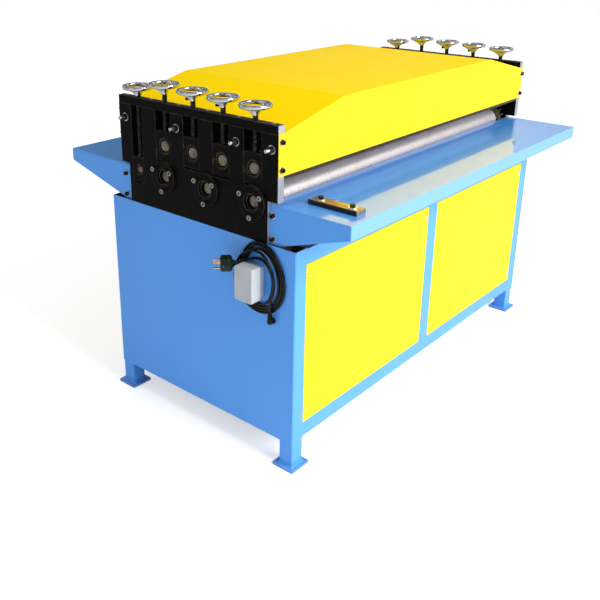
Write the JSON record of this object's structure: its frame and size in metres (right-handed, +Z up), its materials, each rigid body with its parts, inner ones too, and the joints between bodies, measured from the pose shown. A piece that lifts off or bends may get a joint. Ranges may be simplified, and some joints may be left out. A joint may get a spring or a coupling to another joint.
{
  "type": "leveling and beading machine",
  "caption": "Sheet-metal leveling and beading machine: rows of steel rollers between slotted side plates, set by hand wheels, on a tube base with feed and exit tables.",
  "frame": {"origin": "on the floor, under the middle of the machine's box without its mains lead", "axes": "+Z up, +X along the rollers, the feed table towards -Y"},
  "size_m": [1.6227, 1.164, 1.1035],
  "materials": {
    "blue_paint": "gloss enamel",
    "yellow_paint": "gloss enamel",
    "black_plate": "satin black",
    "bare_steel": "turned",
    "gear_steel": "greased",
    "wheel_chrome": "polished",
    "stud_steel": "zinc plated",
    "box_plastic": "moulded",
    "cord_rubber": "matt",
    "plug_plastic": "moulded",
    "pin_brass": "plain"
  },
  "bodies": {
    "base": {"legs": "blue_paint", "foot_plates": "blue_paint", "top_rails": "blue_paint", "bottom_rails": "blue_paint", "mid_posts": "blue_paint", "left_end_panel": "blue_paint", "right_end_panel": "blue_paint", "front_panel_left": "yellow_paint", "front_panel_right": "yellow_paint", "rear_panel_left": "yellow_paint", "rear_panel_right": "yellow_paint", "side_plate_left": "black_plate", "side_plate_right": "black_plate", "top_bar_left": "black_plate", "top_bar_right": "black_plate", "bearing_flanges": "black_plate", "lock_studs": "stud_steel", "hood_front": "yellow_paint", "hood_rear": "yellow_paint", "hood_roof": "yellow_paint", "front_table": "blue_paint", "front_table_cheeks": "blue_paint", "rear_table": "blue_paint", "rear_table_cheeks": "blue_paint", "table_guide": "stud_steel", "switch_box": "box_plastic", "switch_box_lid": "box_plastic", "cord_gland": "cord_rubber", "cord_lead": "cord_rubber", "cord_coil": "cord_rubber", "plug": "plug_plastic", "plug_pins": "pin_brass"},
    "lower_roller_front": {"lower_roller_front": "bare_steel", "lower_gear_front": "gear_steel"},
    "lower_roller_middle": {"lower_roller_middle": "bare_steel"},
    "lower_roller_rear": {"lower_roller_rear": "bare_steel", "lower_gear_rear": "gear_steel"},
    "bearing_blocks_1": {"bearing_blocks_1": "black_plate"},
    "upper_roller_1": {"upper_roller_1": "bare_steel", "upper_gear_front": "gear_steel"},
    "handwheel_left_1": {"handwheel_left_1": "wheel_chrome"},
    "handwheel_right_1": {"handwheel_right_1": "wheel_chrome"},
    "bearing_blocks_2": {"bearing_blocks_2": "black_plate"},
    "upper_roller_2": {"upper_roller_2": "bare_steel"},
    "handwheel_left_2": {"handwheel_left_2": "wheel_chrome"},
    "handwheel_right_2": {"handwheel_right_2": "wheel_chrome"},
    "bearing_blocks_3": {"bearing_blocks_3": "black_plate"},
    "upper_roller_3": {"upper_roller_3": "bare_steel"},
    "handwheel_left_3": {"handwheel_left_3": "wheel_chrome"},
    "handwheel_right_3": {"handwheel_right_3": "wheel_chrome"},
    "bearing_blocks_4": {"bearing_blocks_4": "black_plate"},
    "upper_roller_4": {"upper_roller_4": "bare_steel", "upper_gear_rear": "gear_steel"},
    "handwheel_left_4": {"handwheel_left_4": "wheel_chrome"},
    "handwheel_right_4": {"handwheel_right_4": "wheel_chrome"},
    "bearing_blocks_5": {"bearing_blocks_5": "black_plate"},
    "exit_roller": {"exit_roller": "bare_steel"},
    "handwheel_left_5": {"handwheel_left_5": "wheel_chrome"},
    "handwheel_right_5": {"handwheel_right_5": "wheel_chrome"}
  },
  "joints": [
    {"name": "lower_roller_front_spin", "type": "hinge", "parent": "base", "child": "lower_roller_front", "pos_m": [0.0125, -0.255, 0.817], "axis": [1, 0, 0], "continuous": true},
    {"name": "lower_roller_middle_spin", "type": "hinge", "parent": "base", "child": "lower_roller_middle", "pos_m": [0.0125, -0.075, 0.817], "axis": [1, 0, 0], "continuous": true},
    {"name": "lower_roller_rear_spin", "type": "hinge", "parent": "base", "child": "lower_roller_rear", "pos_m": [0.0125, 0.105, 0.817], "axis": [1, 0, 0], "continuous": true},
    {"name": "lift_1", "type": "slide", "parent": "base", "child": "bearing_blocks_1", "axis": [0, 0, 1], "range_m": [-0.004, 0.006]},
    {"name": "upper_roller_1_spin", "type": "hinge", "parent": "bearing_blocks_1", "child": "upper_roller_1", "pos_m": [0.0125, -0.255, 0.913], "axis": [1, 0, 0], "continuous": true},
    {"name": "handwheel_left_1_turn", "type": "hinge", "parent": "bearing_blocks_1", "child": "handwheel_left_1", "pos_m": [-0.725, -0.255, 1.08], "axis": [0, 0, 1], "range_deg": [-361, 541]},
    {"name": "handwheel_right_1_turn", "type": "hinge", "parent": "bearing_blocks_1", "child": "handwheel_right_1", "pos_m": [0.75, -0.255, 1.08], "axis": [0, 0, 1], "range_deg": [-361, 541]},
    {"name": "lift_2", "type": "slide", "parent": "base", "child": "bearing_blocks_2", "axis": [0, 0, 1], "range_m": [-0.004, 0.006]},
    {"name": "upper_roller_2_spin", "type": "hinge", "parent": "bearing_blocks_2", "child": "upper_roller_2", "pos_m": [0.0125, -0.135, 0.913], "axis": [1, 0, 0], "continuous": true},
    {"name": "handwheel_left_2_turn", "type": "hinge", "parent": "bearing_blocks_2", "child": "handwheel_left_2", "pos_m": [-0.725, -0.135, 1.08], "axis": [0, 0, 1], "range_deg": [-361, 541]},
    {"name": "handwheel_right_2_turn", "type": "hinge", "parent": "bearing_blocks_2", "child": "handwheel_right_2", "pos_m": [0.75, -0.135, 1.08], "axis": [0, 0, 1], "range_deg": [-361, 541]},
    {"name": "lift_3", "type": "slide", "parent": "base", "child": "bearing_blocks_3", "axis": [0, 0, 1], "range_m": [-0.004, 0.006]},
    {"name": "upper_roller_3_spin", "type": "hinge", "parent": "bearing_blocks_3", "child": "upper_roller_3", "pos_m": [0.0125, -0.015, 0.913], "axis": [1, 0, 0], "continuous": true},
    {"name": "handwheel_left_3_turn", "type": "hinge", "parent": "bearing_blocks_3", "child": "handwheel_left_3", "pos_m": [-0.725, -0.015, 1.08], "axis": [0, 0, 1], "range_deg": [-361, 541]},
    {"name": "handwheel_right_3_turn", "type": "hinge", "parent": "bearing_blocks_3", "child": "handwheel_right_3", "pos_m": [0.75, -0.015, 1.08], "axis": [0, 0, 1], "range_deg": [-361, 541]},
    {"name": "lift_4", "type": "slide", "parent": "base", "child": "bearing_blocks_4", "axis": [0, 0, 1], "range_m": [-0.004, 0.006]},
    {"name": "upper_roller_4_spin", "type": "hinge", "parent": "bearing_blocks_4", "child": "upper_roller_4", "pos_m": [0.0125, 0.105, 0.913], "axis": [1, 0, 0], "continuous": true},
    {"name": "handwheel_left_4_turn", "type": "hinge", "parent": "bearing_blocks_4", "child": "handwheel_left_4", "pos_m": [-0.725, 0.105, 1.08], "axis": [0, 0, 1], "range_deg": [-361, 541]},
    {"name": "handwheel_right_4_turn", "type": "hinge", "parent": "bearing_blocks_4", "child": "handwheel_right_4", "pos_m": [0.75, 0.105, 1.08], "axis": [0, 0, 1], "range_deg": [-361, 541]},
    {"name": "lift_5", "type": "slide", "parent": "base", "child": "bearing_blocks_5", "axis": [0, 0, 1], "range_m": [-0.001, 0.006]},
    {"name": "exit_roller_spin", "type": "hinge", "parent": "bearing_blocks_5", "child": "exit_roller", "pos_m": [0.0125, 0.225, 0.817], "axis": [1, 0, 0], "continuous": true},
    {"name": "handwheel_left_5_turn", "type": "hinge", "parent": "bearing_blocks_5", "child": "handwheel_left_5", "pos_m": [-0.725, 0.225, 1.08], "axis": [0, 0, 1], "range_deg": [-91, 541]},
    {"name": "handwheel_right_5_turn", "type": "hinge", "parent": "bearing_blocks_5", "child": "handwheel_right_5", "pos_m": [0.75, 0.225, 1.08], "axis": [0, 0, 1], "range_deg": [-91, 541]}
  ],
  "couplings": [
    {"joint": "lower_roller_middle_spin", "follows": "lower_roller_front_spin", "ratio": 1},
    {"joint": "lower_roller_rear_spin", "follows": "lower_roller_front_spin", "ratio": 1},
    {"joint": "upper_roller_1_spin", "follows": "lower_roller_front_spin", "ratio": -1},
    {"joint": "handwheel_left_1_turn", "follows": "lift_1", "rad_per_m": 1570.8},
    {"joint": "handwheel_right_1_turn", "follows": "lift_1", "rad_per_m": 1570.8},
    {"joint": "handwheel_left_2_turn", "follows": "lift_2", "rad_per_m": 1570.8},
    {"joint": "handwheel_right_2_turn", "follows": "lift_2", "rad_per_m": 1570.8},
    {"joint": "handwheel_left_3_turn", "follows": "lift_3", "rad_per_m": 1570.8},
    {"joint": "handwheel_right_3_turn", "follows": "lift_3", "rad_per_m": 1570.8},
    {"joint": "upper_roller_4_spin", "follows": "lower_roller_front_spin", "ratio": -1},
    {"joint": "handwheel_left_4_turn", "follows": "lift_4", "rad_per_m": 1570.8},
    {"joint": "handwheel_right_4_turn", "follows": "lift_4", "rad_per_m": 1570.8},
    {"joint": "handwheel_left_5_turn", "follows": "lift_5", "rad_per_m": 1570.8},
    {"joint": "handwheel_right_5_turn", "follows": "lift_5", "rad_per_m": 1570.8}
  ]
}
